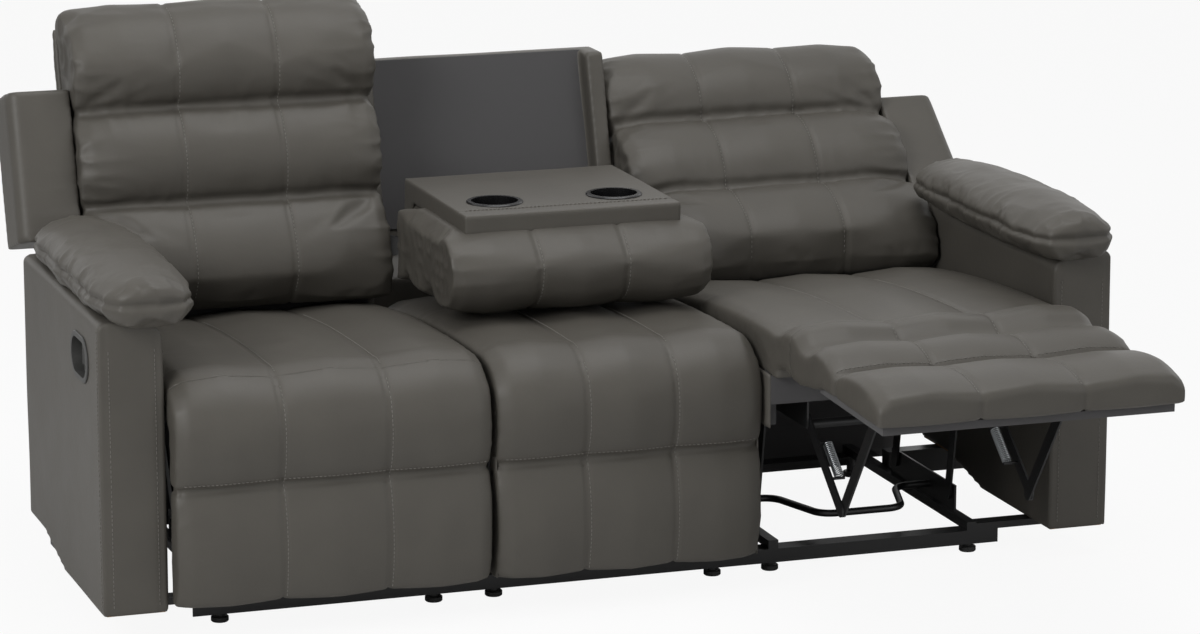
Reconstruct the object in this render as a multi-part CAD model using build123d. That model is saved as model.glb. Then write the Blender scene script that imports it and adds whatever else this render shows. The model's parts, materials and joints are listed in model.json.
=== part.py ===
from build123d import *
import os
from math import atan2, cos, degrees, hypot, pi, radians, sin, sqrt, tan

# Three-seat recliner sofa in millimetres: +X across, -Y to the front, +Z up from the floor.
# It is drawn closed, with Y = 0 at the arm fronts. The right seat is then opened, as the sofa stands.

# Widths
ARM_OUTER = 985.0
ARM_WIDTH = 120.0
BAY_SPLIT = 262.0
SIDE_GAP = 4.0

# Base
FOOT_HEIGHT = 18.0
FOOT_RADIUS = 16.5
RAIL_HEIGHT = 27.0
RAIL_DEPTH = 40.0
RAIL_WALL = 4.0
RAIL_HALF = 800.0
FRONT_RAIL_Y = 92.0
REAR_RAIL_Y = 700.0
SIDE_RAIL_WIDTH = 20.0
SIDE_RAIL_HEIGHT = 17.0
MECH_INNER = 335.0
MECH_OUTER = 745.0
CENTRE_LEG = 218.0
OUTRIGGER_REACH = 960.0
OUTRIGGER_WIDTH = 35.0
OUTRIGGER_REAR_Y = 540.0

# Arms
ARM_BOTTOM = 58.0
ARM_TOP = 600.0
ARM_DEPTH = 640.0
ARM_SKIN = 6.0
ARM_ROUND = 45.0
ARM_EDGE = 12.0
ARM_RISE_START = 330.0
ARM_RISE_END = 500.0
ARM_RISE = 34.0
ARM_BOARD = 20.0
ARM_POST = 40.0
ARM_FIT = 0.3

# Arm pads
PAD_INNER = 792.0
PAD_OUTER = 1000.0
PAD_FRONT = -45.0
PAD_REAR = 585.0
PAD_SEAM = 640.0
PAD_CROWN = 48.0
PAD_SEAT = 55.0

# Release handle in the outer side of each arm
HANDLE_Y = 150.0
HANDLE_Z = 508.0
HANDLE_LENGTH = 124.0
HANDLE_HEIGHT = 72.0
HANDLE_DEPTH = 30.0
HANDLE_WALL = 3.0
HANDLE_LIP = 7.0
LEVER_THICKNESS = 6.0
LEVER_LENGTH = 74.0
LEVER_HEIGHT = 40.0
LEVER_PIN = 2.5
LEVER_TURN = 28.0

# Soft shapes
END_INSET = 16.0
END_ROUND = 26.0
END_ROLL = 4.0
SEAM_DEPTH = 6.0
REST_GAP = 0.3

# Seat and leg rest, side view as (Y, Z)
CROWN_HINGE = (70.0, 495.0)
LEG_HINGE = (-50.0, 440.0)
SEAT_REAR = 700.0
SEAT_REAR_TOP = 450.0
CENTRE_SEAT_REAR = 689.0
SEAT_BOTTOM = 400.0
SEAT_CROWN = 12.0
CROWN_DEPTH = 75.0
CROWN_BULGE = 22.0
LEG_BOTTOM = 72.0
LEG_SEAM = 288.0
LEG_SEAM_DEPTH = 12.0
LEG_THICKNESS = 58.0
LEG_BULGE = 15.0
LEG_BOARD = 15.0
LEG_BOARD_MARGIN = 16.0

# Seat frame
SEAT_RAIL_HEIGHT = 55.0
SEAT_RAIL_DEPTH = 25.0
SEAT_RAIL_FRONT = 95.0
SEAT_RAIL_REAR = 685.0
SEAT_SIDE_BOARD = 20.0
SEAT_SIDE_DROP = 45.0
SPRING_WIRE = 1.9
SPRING_COUNT = 4
SPRING_SWING = 20.0
SPRING_PITCH = 34.0
SPRING_BEND = 9.0
SPRING_DROP = 14.0

# Mechanism, in plates side by side
PLATE = 4.0
PLATE_PITCH = 5.0
PIVOT_RADIUS = 5.0
PIVOT_FIT = 0.05
OPEN_FIT = 0.5
RIVET_HEAD = 9.0
RIVET_HEIGHT = 3.0
LINK_RADIUS = 13.0
SWING_LENGTH = 250.0
SWING_CLOSED = 28.0
SWING_TURN = 38.5
SWING_FRONT = (200.0, 95.0)
SWING_REAR = (470.0, 95.0)
SEAT_PLATE_HEIGHT = 55.0
BRACKET_GAP = 5.2
RECLINE_PIVOT = (640.0, 318.0)
RECLINE = 34.0
CROWN_TURN = 22.0
LEG_TURN = 66.0
DRIVE_PIVOT = (140.0, 320.0)
DRIVE_LENGTH = 240.0
LIFT_LENGTH = 270.0
LEG_PIVOT = (45.0, 290.0)
TORQUE_TUBE = 9.0
TORQUE_PLACE = 0.15
STRETCHER_RADIUS = 7.0
STRETCHER_REAR = 300.0
STRETCHER_FRONT = 150.0
STRETCHER_Z = 88.0
STRETCHER_INSET = 75.0
STRETCHER_BEND = 38.0

# Tension springs beside the drive links
COIL_RADIUS = 8.0
COIL_WIRE = 1.4
COIL_PITCH = 4.2
COIL_TURNS = 18
COIL_OFFSET = 36.0
COIL_START = 78.0
COIL_POST = 2.8

# Backs, in their own leaning frame: W to the rear, V up along the back
BACK_FOOT = (600.0, 480.0)
BACK_LEAN = 18.0
BACK_FOAM = 112.0
BACK_BOARD = 18.0
BACK_SKIN = 14.0
LUMBAR_TOP = 205.0
MIDDLE_TOP = 390.0
HEAD_TOP = 600.0
LUMBAR_BULGE = 36.0
MIDDLE_BULGE = 28.0
HEAD_BULGE = 40.0
CREASE = 10.0
BOARD_FOOT = -20.0
BOARD_TOP = 560.0
COVER_FOOT = -18.0
COVER_TOP = 575.0
WING_FOOT = 150.0
WING_TOP = 440.0
WING_FRONT = 15.0
WING_ROUND = 24.0

# Centre back, folded down as a table
TABLE_HINGE = (680.0, 555.0)
TABLE_UP = 106.0
TRAY_TOP = 690.0
TRAY_THICKNESS = 40.0
TRAY_HALF = 216.0
TRAY_FRONT = 285.0
TRAY_REAR = 690.0
TABLE_FOOT = 506.0
ROLL_FRONT = 215.0
ROLL_SPLIT = 385.0
TABLE_SPLIT = 540.0
CUP_X = 120.0
CUP_Y = 403.0
CUP_RADIUS = 45.0
CUP_DEPTH = 58.0
CUP_WALL = 2.5
CUP_RIM = 7.0
CUP_RIM_HEIGHT = 3.0
HINGE_PIN = 6.0
HINGE_PLATE = 5.0
HINGE_GAP = 0.5

# Centre back shell
SHELL_LEAN = 16.0
SHELL_FACE = (815.0, 508.0)
SHELL_TOP = 885.0
SHELL_THICKNESS = 36.0
SHELL_LEG = 40.0
CHEEK_WIDTH = 36.0
CHEEK_DEPTH = 44.0
CHEEK_FOOT = 560.0
LINING = 3.0

ARM_INNER = ARM_OUTER - ARM_WIDTH
SEAT_LEFT = BAY_SPLIT + SIDE_GAP
SEAT_RIGHT = ARM_INNER - SIDE_GAP
RAIL_TOP = FOOT_HEIGHT + RAIL_HEIGHT
SIDE_TOP = RAIL_TOP + SIDE_RAIL_HEIGHT
SEAT_RAIL_FOOT = SEAT_BOTTOM - SEAT_RAIL_HEIGHT
MECHANISMS = ((MECH_INNER, 1), (MECH_OUTER, -1))


# Side view helpers: points are (Y, Z)
def along(point, angle, distance):
    """Point at a distance from another, at an angle from +Y towards +Z."""
    return (point[0] + distance * cos(radians(angle)), point[1] + distance * sin(radians(angle)))


def heading(start, end):
    return degrees(atan2(end[1] - start[1], end[0] - start[0]))


def span(start, end):
    return hypot(end[0] - start[0], end[1] - start[1])


def middle(start, end):
    return ((start[0] + end[0]) / 2, (start[1] + end[1]) / 2)


def turned(point, pivot, angle):
    """Point after a turn about an X axis."""
    return along(pivot, heading(pivot, point) + angle, span(pivot, point))


def back_point(w, v):
    """Point of the leaning back: w behind its front line, v above its foot."""
    return along(along(BACK_FOOT, 90 - BACK_LEAN, v), -BACK_LEAN, w)


def shell_point(w, z):
    """Point at height z, w behind the face of the centre shell."""
    return (SHELL_FACE[0] + (z - SHELL_FACE[1]) * tan(radians(SHELL_LEAN)) + w, z)


def outline(x, start, *steps):
    """Face across X: each step is an end point, or a mid point and an end point of an arc."""
    edges = []
    here = start
    for step in steps:
        points = [(x, y, z) for y, z in (here, *step)]
        edges.append(Line(*points) if len(points) == 2 else ThreePointArc(*points))
        here = step[-1]
    edges.append(Line((x, *here), (x, *start)))
    return make_face(edges)


def slab(x0, x1, *points):
    """Plate between two X planes with straight sides."""
    return extrude(outline(x0, points[0], *[(p,) for p in points[1:]]), amount=x1 - x0, dir=(1, 0, 0))


def block(x0, x1, y0, y1, z0, z1):
    return slab(x0, x1, (y0, z0), (y1, z0), (y1, z1), (y0, z1))


def rod(x0, x1, point, radius):
    """Round bar along X."""
    return Solid.make_cylinder(radius, x1 - x0, Plane((x0, *point), z_dir=(1, 0, 0)))


def bar(x0, x1, start, end, radius):
    """Flat link with round ends."""
    way = heading(start, end)
    sides = [along(start, way + 90, radius), along(start, way - 90, radius),
             along(end, way - 90, radius), along(end, way + 90, radius)]
    tips = [along(start, way + 180, radius), along(end, way, radius)]
    face = outline(x0, sides[0], (tips[0], sides[1]), (sides[2],), (tips[1], sides[3]))
    return extrude(face, amount=x1 - x0, dir=(1, 0, 0))


def group(solids):
    return Compound([solid for part in solids for solid in part.solids()])


# Side view of the leg rest: the pads meet on the lines that halve each bend
CROWN_MITRE = (heading(CROWN_HINGE, LEG_HINGE) % 360 + 360) / 2
LEG_MITRE = (heading(LEG_HINGE, CROWN_HINGE) - 90) / 2


def stations(left, right):
    """X places across a pad, with how far its face is drawn in at the ends and at the two seams."""
    third = (right - left) / 3
    centre = (left + right) / 2
    half = [(left, END_INSET), (left + END_ROUND, END_ROLL), (left + third / 2, 0.0), (left + third, SEAM_DEPTH)]
    mirrored = [(left + right - x, drop) for x, drop in reversed(half)]
    return half + [(centre, 0.0)] + mirrored


def padded(left, right, section):
    return loft([section(x, drop) for x, drop in stations(left, right)], ruled=True)


def seat_section(x, drop):
    front = along(CROWN_HINGE, CROWN_MITRE, drop)
    rear = (SEAT_REAR, SEAT_REAR_TOP - drop)
    foot = SEAT_BOTTOM + REST_GAP
    toe = along(CROWN_HINGE, CROWN_MITRE, (CROWN_HINGE[1] - foot) / sin(radians(-CROWN_MITRE)))
    crest = middle(front, rear)
    start = (front[0] + REST_GAP, front[1])
    return outline(x, start, ((crest[0], crest[1] + SEAT_CROWN), rear), ((SEAT_REAR, foot),),
                   ((toe[0] + REST_GAP, toe[1]),))


def crown_arc(drop):
    """Arc over the front edge, from the seat to the leg rest, as start, mid and end."""
    rear = along(CROWN_HINGE, CROWN_MITRE, drop)
    front = along(LEG_HINGE, LEG_MITRE, drop)
    crest = along(middle(rear, front), heading(front, rear) + 90, CROWN_BULGE - drop / 2)
    return rear, crest, front


def crown_section(x, drop):
    rear, crest, front = crown_arc(drop)
    shift = along((0, 0), LEG_MITRE + 90, REST_GAP)
    toe = along(LEG_HINGE, LEG_MITRE, CROWN_DEPTH)
    heel = along(CROWN_HINGE, CROWN_MITRE, CROWN_DEPTH)
    return outline(x, (rear[0] - REST_GAP, rear[1]), (crest, (front[0] + shift[0], front[1] + shift[1])),
                   ((toe[0] + shift[0], toe[1] + shift[1]),), ((heel[0] - REST_GAP, heel[1]),))


def leg_section(x, drop):
    """Front pad with an upper and a lower panel and a drawn-in seam between them."""
    back = LEG_HINGE[0] + LEG_THICKNESS
    shift = along((0, 0), LEG_MITRE - 90, REST_GAP)
    top = along(LEG_HINGE, LEG_MITRE, drop)
    corner = along(LEG_HINGE, LEG_MITRE, LEG_THICKNESS / cos(radians(LEG_MITRE)))
    seam = (LEG_HINGE[0] + LEG_SEAM_DEPTH + drop / 2, LEG_SEAM)
    foot = (LEG_HINGE[0] + drop, LEG_BOTTOM + drop)
    upper = (LEG_HINGE[0] - LEG_BULGE + drop, (LEG_HINGE[1] + LEG_SEAM) / 2)
    lower = (LEG_HINGE[0] - LEG_BULGE + drop, (LEG_SEAM + LEG_BOTTOM) / 2)
    return outline(x, (top[0] + shift[0], top[1] + shift[1]), (upper, seam), (lower, foot),
                   ((foot[0] + LEG_SEAM_DEPTH, LEG_BOTTOM),), ((back, LEG_BOTTOM),),
                   ((back, corner[1] + shift[1]),))


def centre_seat_section(x, drop):
    rear_crown, crest, front = crown_arc(drop)
    rear = (CENTRE_SEAT_REAR, SEAT_REAR_TOP - drop)
    seat_crest = middle(rear_crown, rear)
    shift = along((0, 0), LEG_MITRE + 90, REST_GAP)
    toe = along(LEG_HINGE, LEG_MITRE, CROWN_DEPTH)
    foot = SEAT_BOTTOM + REST_GAP
    return outline(x, (front[0] + shift[0], front[1] + shift[1]), (crest, rear_crown),
                   ((seat_crest[0], seat_crest[1] + SEAT_CROWN), rear), ((rear[0], foot),),
                   ((SEAT_RAIL_FRONT, foot),), ((toe[0] + shift[0], toe[1] + shift[1]),))


def back_section(x, drop):
    """Three rolls down the front of a back, flat where it lies on its board."""
    level = BACK_FOAM * tan(radians(BACK_LEAN))
    creases = [back_point(CREASE + drop / 2, v) for v in (LUMBAR_TOP, MIDDLE_TOP)]
    lumbar = back_point(drop - LUMBAR_BULGE, LUMBAR_TOP / 2)
    waist = back_point(drop - MIDDLE_BULGE, (LUMBAR_TOP + MIDDLE_TOP) / 2)
    head = back_point(drop - HEAD_BULGE, (MIDDLE_TOP + HEAD_TOP) / 2 - CREASE)
    brow = back_point(CREASE * 2 + drop, HEAD_TOP - CREASE * 2 - drop)
    crest = back_point(BACK_FOAM * 0.55, HEAD_TOP - drop)
    nape = back_point(BACK_FOAM, HEAD_TOP - CREASE * 1.5 - drop)
    return outline(x, back_point(drop, 0), (lumbar, creases[0]), (waist, creases[1]), (head, brow),
                   (crest, nape), (back_point(BACK_FOAM, level),))


def table_section(x, drop):
    """The same rolls lying face down under the table, the head roll at the front."""
    under = TRAY_TOP - TRAY_THICKNESS - REST_GAP
    front = (ROLL_FRONT + drop, (under + TABLE_FOOT) / 2)
    chin = (ROLL_FRONT + (under - TABLE_FOOT) / 2, TABLE_FOOT + drop)
    brow = (TRAY_FRONT - REST_GAP + drop / 2, under)
    head = (ROLL_SPLIT, TABLE_FOOT + CREASE + drop / 2)
    waist = (TABLE_SPLIT, TABLE_FOOT + CREASE + drop / 2)
    end = (TRAY_REAR - drop, TABLE_FOOT + CREASE)
    dip = TABLE_FOOT + drop / 2
    return outline(x, brow, (front, chin), (((chin[0] + ROLL_SPLIT) / 2, dip), head),
                   (((ROLL_SPLIT + TABLE_SPLIT) / 2, dip), waist),
                   (((TABLE_SPLIT + TRAY_REAR) / 2, dip), end), ((TRAY_REAR - drop, under),))


# Positions of the moving pivots with the seat closed
FRONT_TOP = along(SWING_FRONT, 90 - SWING_CLOSED, SWING_LENGTH)
REAR_TOP = along(SWING_REAR, 90 - SWING_CLOSED, SWING_LENGTH)


def elbow(drive, leg):
    """Joint of the two scissor links, hanging below the line between their ends."""
    reach = span(drive, leg)
    side = (DRIVE_LENGTH ** 2 - LIFT_LENGTH ** 2 + reach ** 2) / (2 * reach)
    return along(drive, heading(drive, leg) + degrees(atan2(sqrt(DRIVE_LENGTH ** 2 - side ** 2), side)),
                 DRIVE_LENGTH)


ELBOW = elbow(DRIVE_PIVOT, LEG_PIVOT)
LEG_PIVOT_OPEN = turned(turned(LEG_PIVOT, LEG_HINGE, -LEG_TURN), CROWN_HINGE, -CROWN_TURN)
ELBOW_OPEN = elbow(DRIVE_PIVOT, LEG_PIVOT_OPEN)
DRIVE_TURN = heading(DRIVE_PIVOT, ELBOW_OPEN) - heading(DRIVE_PIVOT, ELBOW)
DRIVE_TURN = (DRIVE_TURN + 180) % 360 - 180
LIFT_TURN = heading(ELBOW_OPEN, LEG_PIVOT_OPEN) - heading(ELBOW, LEG_PIVOT)
LIFT_TURN = (LIFT_TURN + 180) % 360 - 180 - DRIVE_TURN

# Turns that take each body of a recliner from closed to open, its own joint first
SEAT_MOVES = [(FRONT_TOP, -SWING_TURN), (SWING_FRONT, SWING_TURN)]
CROWN_MOVES = [(CROWN_HINGE, -CROWN_TURN)] + SEAT_MOVES
DRIVE_MOVES = [(DRIVE_PIVOT, DRIVE_TURN)] + SEAT_MOVES
OPEN_MOVES = {
    "front_swing": [(SWING_FRONT, SWING_TURN)],
    "rear_swing": [(SWING_REAR, SWING_TURN)],
    "seat": SEAT_MOVES,
    "back": [(RECLINE_PIVOT, -RECLINE)] + SEAT_MOVES,
    "crown": CROWN_MOVES,
    "legrest": [(LEG_HINGE, -LEG_TURN)] + CROWN_MOVES,
    "drive": DRIVE_MOVES,
    "lift": [(ELBOW, LIFT_TURN)] + DRIVE_MOVES,
    "lever": [],
}


def opened(shape, body):
    for pivot, angle in OPEN_MOVES[body]:
        shape = shape.rotate(Axis((0, *pivot), (1, 0, 0)), angle)
    return shape


def layer(mechanism, index):
    """X limits of a plate, counted inwards from the base plate of one side of the mechanism."""
    x, inwards = mechanism
    centre = x + inwards * index * PLATE_PITCH
    return centre - PLATE / 2, centre + PLATE / 2


def between(mechanism, first, last):
    """X limits from the outer face of one plate to the inner face of another."""
    ends = layer(mechanism, first) + layer(mechanism, last)
    return min(ends), max(ends)


def pivot(mechanism, first, last, point):
    """Pin through plates, with a rivet head outside the first one."""
    x0, x1 = between(mechanism, first, last)
    head = PLATE_PITCH - PLATE + RIVET_HEIGHT
    inwards = mechanism[1]
    outer = x0 - OPEN_FIT if inwards > 0 else x1 + OPEN_FIT
    rivet = rod(outer - head, outer, point, RIVET_HEAD) if inwards > 0 else rod(outer, outer + head, point, RIVET_HEAD)
    pin = rod(x0 - OPEN_FIT, x1, point, PIVOT_RADIUS) if inwards > 0 else rod(x0, x1 + OPEN_FIT, point, PIVOT_RADIUS)
    return pin + rivet


def drilled(plate, x0, x1, point, clearance):
    return plate - rod(x0 - 1, x1 + 1, point, PIVOT_RADIUS + clearance)


# Fixed base
def base_rail(y, flip):
    """Angle bar across the sofa: an upright flange at the outer side and a flat one on top."""
    upright = y + RAIL_DEPTH - RAIL_WALL if flip else y
    flat = block(-RAIL_HALF, RAIL_HALF, y, y + RAIL_DEPTH, RAIL_TOP - RAIL_WALL, RAIL_TOP)
    return flat + block(-RAIL_HALF, RAIL_HALF, upright, upright + RAIL_WALL, FOOT_HEIGHT, RAIL_TOP)


def base_side_rails():
    rails = []
    for x, rear in ((CENTRE_LEG, SHELL_FACE[0]), (MECH_INNER, REAR_RAIL_Y + RAIL_DEPTH),
                    (MECH_OUTER, REAR_RAIL_Y + RAIL_DEPTH)):
        for side in (-1, 1):
            rails.append(block(side * x - SIDE_RAIL_WIDTH / 2, side * x + SIDE_RAIL_WIDTH / 2,
                               FRONT_RAIL_Y, rear, RAIL_TOP, SIDE_TOP))
    return group(rails)


def glide_feet():
    """Round glides with a stem up to the flat flange of each base rail."""
    feet = []
    for x in (CENTRE_LEG, MECH_INNER, MECH_OUTER):
        for side in (-1, 1):
            for y in (FRONT_RAIL_Y, REAR_RAIL_Y):
                centre = (side * x, y + RAIL_DEPTH / 2)
                pad = Solid.make_cylinder(FOOT_RADIUS, FOOT_HEIGHT * 0.6, Plane((*centre, 0)))
                pad = chamfer(pad.edges().filter_by(GeomType.CIRCLE), FOOT_HEIGHT * 0.1)
                stem = Solid.make_cylinder(FOOT_RADIUS * 0.5, RAIL_TOP - RAIL_WALL, Plane((*centre, 0)))
                feet.append(pad + stem)
    return group(feet)


def outriggers():
    """Bars from the outer side rails under the arms, each with a bolt up into the arm."""
    bars = []
    x0 = MECH_OUTER + SIDE_RAIL_WIDTH / 2
    for y, top in ((FRONT_RAIL_Y, ARM_BOTTOM), (OUTRIGGER_REAR_Y, ARM_BOTTOM + ARM_RISE)):
        arm_bar = block(x0, OUTRIGGER_REACH, y, y + OUTRIGGER_WIDTH, RAIL_TOP, top)
        bars += [arm_bar, arm_bar.mirror(Plane.YZ)]
    return group(bars)


def base_plates():
    """Upright plates on the side rails that carry the swing links."""
    plates = []
    front = SWING_FRONT[0] - LINK_RADIUS * 2
    rear = SWING_REAR[0] + LINK_RADIUS * 2
    top = SWING_FRONT[1] + LINK_RADIUS * 1.5
    for mechanism in MECHANISMS:
        x0, x1 = layer(mechanism, 0)
        plate = slab(x0, x1, (front, SIDE_TOP), (rear, SIDE_TOP), (rear, top), (front, top))
        for point in (SWING_FRONT, SWING_REAR):
            plate = drilled(plate, x0, x1, point, PIVOT_FIT)
        plates += [plate, plate.mirror(Plane.YZ)]
    return group(plates)


def stretchers():
    """Round tube between the base plates of each recliner, bent forward between its ends."""
    x0 = layer(MECHANISMS[0], 0)[1]
    x1 = layer(MECHANISMS[1], 0)[0]
    path = FilletPolyline((x0, STRETCHER_REAR, STRETCHER_Z), (x0 + STRETCHER_INSET, STRETCHER_REAR, STRETCHER_Z),
                          (x0 + STRETCHER_INSET * 1.6, STRETCHER_FRONT, STRETCHER_Z),
                          (x1 - STRETCHER_INSET * 1.6, STRETCHER_FRONT, STRETCHER_Z),
                          (x1 - STRETCHER_INSET, STRETCHER_REAR, STRETCHER_Z), (x1, STRETCHER_REAR, STRETCHER_Z),
                          radius=STRETCHER_BEND)
    section = Plane((x0, STRETCHER_REAR, STRETCHER_Z), z_dir=(1, 0, 0)) * Circle(STRETCHER_RADIUS)
    tube = sweep(section, path=path)
    return group([tube, tube.mirror(Plane.YZ)])


# Arms, drawn on the right
def arm_profile(x0, x1, inset):
    """Arm block seen from the side, with the lower edge rising towards the rear."""
    low = ARM_BOTTOM
    return slab(x0, x1, (inset, low), (ARM_RISE_START, low), (ARM_RISE_END, low + ARM_RISE),
                (ARM_DEPTH - inset, low + ARM_RISE), (ARM_DEPTH - inset, ARM_TOP - inset), (inset, ARM_TOP - inset))


def handle_oval(depth, margin):
    """Oval prism into the outer side of the arm, grown by a margin."""
    plane = Plane((ARM_OUTER, HANDLE_Y, HANDLE_Z), x_dir=(0, 1, 0), z_dir=(1, 0, 0))
    oval = plane * SlotOverall(HANDLE_LENGTH + 2 * margin, HANDLE_HEIGHT + 2 * margin)
    return extrude(oval, amount=-depth)


def arm_cover():
    skin = arm_profile(ARM_INNER, ARM_OUTER, 0)
    top_edges = skin.edges().filter_by(Axis.Y).group_by(Axis.Z)[-1].sort_by(Axis.X)
    skin = fillet(top_edges[0], ARM_ROUND)
    top_edges = skin.edges().filter_by(Axis.Y).group_by(Axis.Z)[-1].sort_by(Axis.X)
    skin = fillet(top_edges[-1], ARM_EDGE)
    hollow = arm_profile(ARM_INNER + ARM_SKIN, ARM_OUTER - ARM_SKIN, ARM_SKIN)
    hollow = hollow + hollow.moved(Location((0, 0, -ARM_SKIN)))
    inner_edge = hollow.edges().filter_by(Axis.Y).group_by(Axis.Z)[-1].sort_by(Axis.X)[0]
    hollow = fillet(inner_edge, ARM_ROUND - ARM_SKIN)
    return skin - hollow - handle_oval(ARM_SKIN * 2, ARM_FIT)


def arm_frame():
    """Boards inside the arm: two sills, two posts and a top rail."""
    x0 = ARM_INNER + ARM_SKIN + ARM_FIT
    x1 = ARM_OUTER - ARM_SKIN - ARM_FIT
    front = ARM_SKIN + ARM_FIT
    rear = ARM_DEPTH - front
    top = ARM_TOP - ARM_SKIN - ARM_FIT
    rear_low = ARM_BOTTOM + ARM_RISE
    sills = [block(x0, x1, front, ARM_RISE_START, ARM_BOTTOM, ARM_BOTTOM + ARM_BOARD),
             block(x0, x1, ARM_RISE_END, rear, rear_low, rear_low + ARM_BOARD)]
    post = top - ARM_ROUND
    posts = [block(x0, x1, front, front + ARM_POST, ARM_BOTTOM + ARM_BOARD, post),
             block(x0, x1, rear - ARM_POST, rear, rear_low + ARM_BOARD, post)]
    rail = block(x0 + ARM_ROUND, x1, front, rear, post, top)
    return sills + posts + [rail]


def arm_pad():
    """Pillow over the arm top: a flat seat, a seam round the middle and a crown, drawn in at both ends."""
    centre = (PAD_INNER + PAD_OUTER) / 2
    half = (PAD_OUTER - PAD_INNER) / 2
    length = PAD_REAR - PAD_FRONT
    seat = ARM_TOP + REST_GAP
    sections = []
    for share, draw in ((0.0, 0.42), (0.05, 0.2), (0.16, 0.06), (0.5, 0.0), (0.85, 0.05), (0.96, 0.18), (1.0, 0.36)):
        y = PAD_FRONT + share * length
        reach = half * (1 - draw)
        crest = PAD_SEAM + PAD_CROWN * (1 - draw)
        foot = min(PAD_SEAT, reach * 0.7)
        plane = Plane((centre, y, 0), x_dir=(1, 0, 0), z_dir=(0, -1, 0))
        belly = seat + (PAD_SEAM - seat) * 0.3
        side = (reach + foot) / 2 + (reach - foot) * 0.12
        edges = [ThreePointArc((-reach, PAD_SEAM), (0, crest), (reach, PAD_SEAM)),
                 ThreePointArc((reach, PAD_SEAM), (side, belly), (foot, seat)),
                 Line((foot, seat), (-foot, seat)),
                 ThreePointArc((-foot, seat), (-side, belly), (-reach, PAD_SEAM))]
        sections.append(plane * make_face(edges))
    return loft(sections, ruled=True)


def handle_bezel():
    """Oval cup in the arm side with a lip outside, and a socket for the lever pin."""
    lip = HANDLE_LIP
    plane = Plane((ARM_OUTER + ARM_FIT, HANDLE_Y, HANDLE_Z), x_dir=(0, 1, 0), z_dir=(1, 0, 0))
    ring = extrude(plane * SlotOverall(HANDLE_LENGTH + 2 * lip, HANDLE_HEIGHT + 2 * lip), amount=HANDLE_WALL)
    ring = chamfer(ring.edges().group_by(Axis.X)[-1], HANDLE_WALL * 0.5)
    cup = handle_oval(HANDLE_DEPTH, 0)
    hollow = handle_oval(HANDLE_DEPTH - HANDLE_WALL, -HANDLE_WALL)
    mouth = extrude(plane * SlotOverall(HANDLE_LENGTH - 2 * HANDLE_WALL, HANDLE_HEIGHT - 2 * HANDLE_WALL),
                    amount=HANDLE_WALL * 2)
    bridge = extrude(plane * SlotOverall(HANDLE_LENGTH, HANDLE_HEIGHT), amount=-ARM_FIT)
    shell = cup + bridge + ring - hollow - mouth - extrude(
        plane * SlotOverall(HANDLE_LENGTH - 2 * HANDLE_WALL, HANDLE_HEIGHT - 2 * HANDLE_WALL), amount=-ARM_FIT)
    return shell - lever_pin(HANDLE_HEIGHT - HANDLE_WALL, LEVER_PIN + PIVOT_FIT)


LEVER_AXIS = (ARM_OUTER - HANDLE_DEPTH / 2, HANDLE_Y + HANDLE_LENGTH / 2 - HANDLE_HEIGHT / 2)


def lever_pin(length, radius):
    return Solid.make_cylinder(radius, length, Plane((*LEVER_AXIS, HANDLE_Z - length / 2)))


def release_lever():
    """Paddle in the cup, on an upright pin towards the rear."""
    x, y = LEVER_AXIS
    profile = [(x - LEVER_THICKNESS / 2, y), (x + LEVER_THICKNESS / 2, y),
               (x + LEVER_THICKNESS / 2 + 4, y - LEVER_LENGTH), (x + LEVER_THICKNESS / 2 - 2, y - LEVER_LENGTH)]
    face = make_face(Polyline(*[(a, b, HANDLE_Z - LEVER_HEIGHT / 2) for a, b in profile], close=True))
    paddle = extrude(face, amount=LEVER_HEIGHT, dir=(0, 0, 1))
    paddle = fillet(paddle.edges().group_by(Axis.Y)[0].filter_by(Axis.X), LEVER_HEIGHT * 0.3)
    barrel = Solid.make_cylinder(LEVER_PIN * 2, LEVER_HEIGHT, Plane((x, y, HANDLE_Z - LEVER_HEIGHT / 2)))
    return paddle + barrel + lever_pin(HANDLE_HEIGHT - HANDLE_WALL - 2 * ARM_FIT, LEVER_PIN)


# Recliner, drawn closed on the right
def seat_frame(left, right, front, rear):
    """Two cross rails on the side plates, closed by a side board at each end."""
    foot = SEAT_RAIL_FOOT
    boards = [block(left, right, y, y + SEAT_RAIL_DEPTH, foot, SEAT_BOTTOM) for y in (front, rear - SEAT_RAIL_DEPTH)]
    for x in (left, right - SEAT_SIDE_BOARD):
        boards.append(block(x, x + SEAT_SIDE_BOARD, front + SEAT_RAIL_DEPTH, rear - SEAT_RAIL_DEPTH,
                            foot - SEAT_SIDE_DROP, SEAT_BOTTOM))
    return boards


def sinuous_springs(left, right, front, rear):
    """Zigzag wires from the front rail to the rear rail, below the cushion."""
    z = SEAT_BOTTOM - SPRING_DROP
    y0 = front + SEAT_RAIL_DEPTH
    y1 = rear - SEAT_RAIL_DEPTH
    turns = int((y1 - y0) / SPRING_PITCH / 2)
    step = (y1 - y0) / (2 * turns + 2)
    wires = []
    for i in range(SPRING_COUNT):
        x = left + (right - left) * (i + 1) / (SPRING_COUNT + 1)
        points = [(x, y0, z), (x, y0 + step * 0.75, z)]
        for k in range(2 * turns):
            side = SPRING_SWING if k % 2 else -SPRING_SWING
            points += [(x + side, y0 + step * (k + 0.75) + 0.02, z), (x + side, y0 + step * (k + 1.75), z)]
        points += [(x, y1 - step * 0.25 - 0.02, z), (x, y1, z)]
        path = FilletPolyline(*points, radius=SPRING_BEND)
        section = Plane((x, y0, z), z_dir=(0, 1, 0)) * Circle(SPRING_WIRE)
        wires.append(sweep(section, path=path))
    return wires


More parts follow.
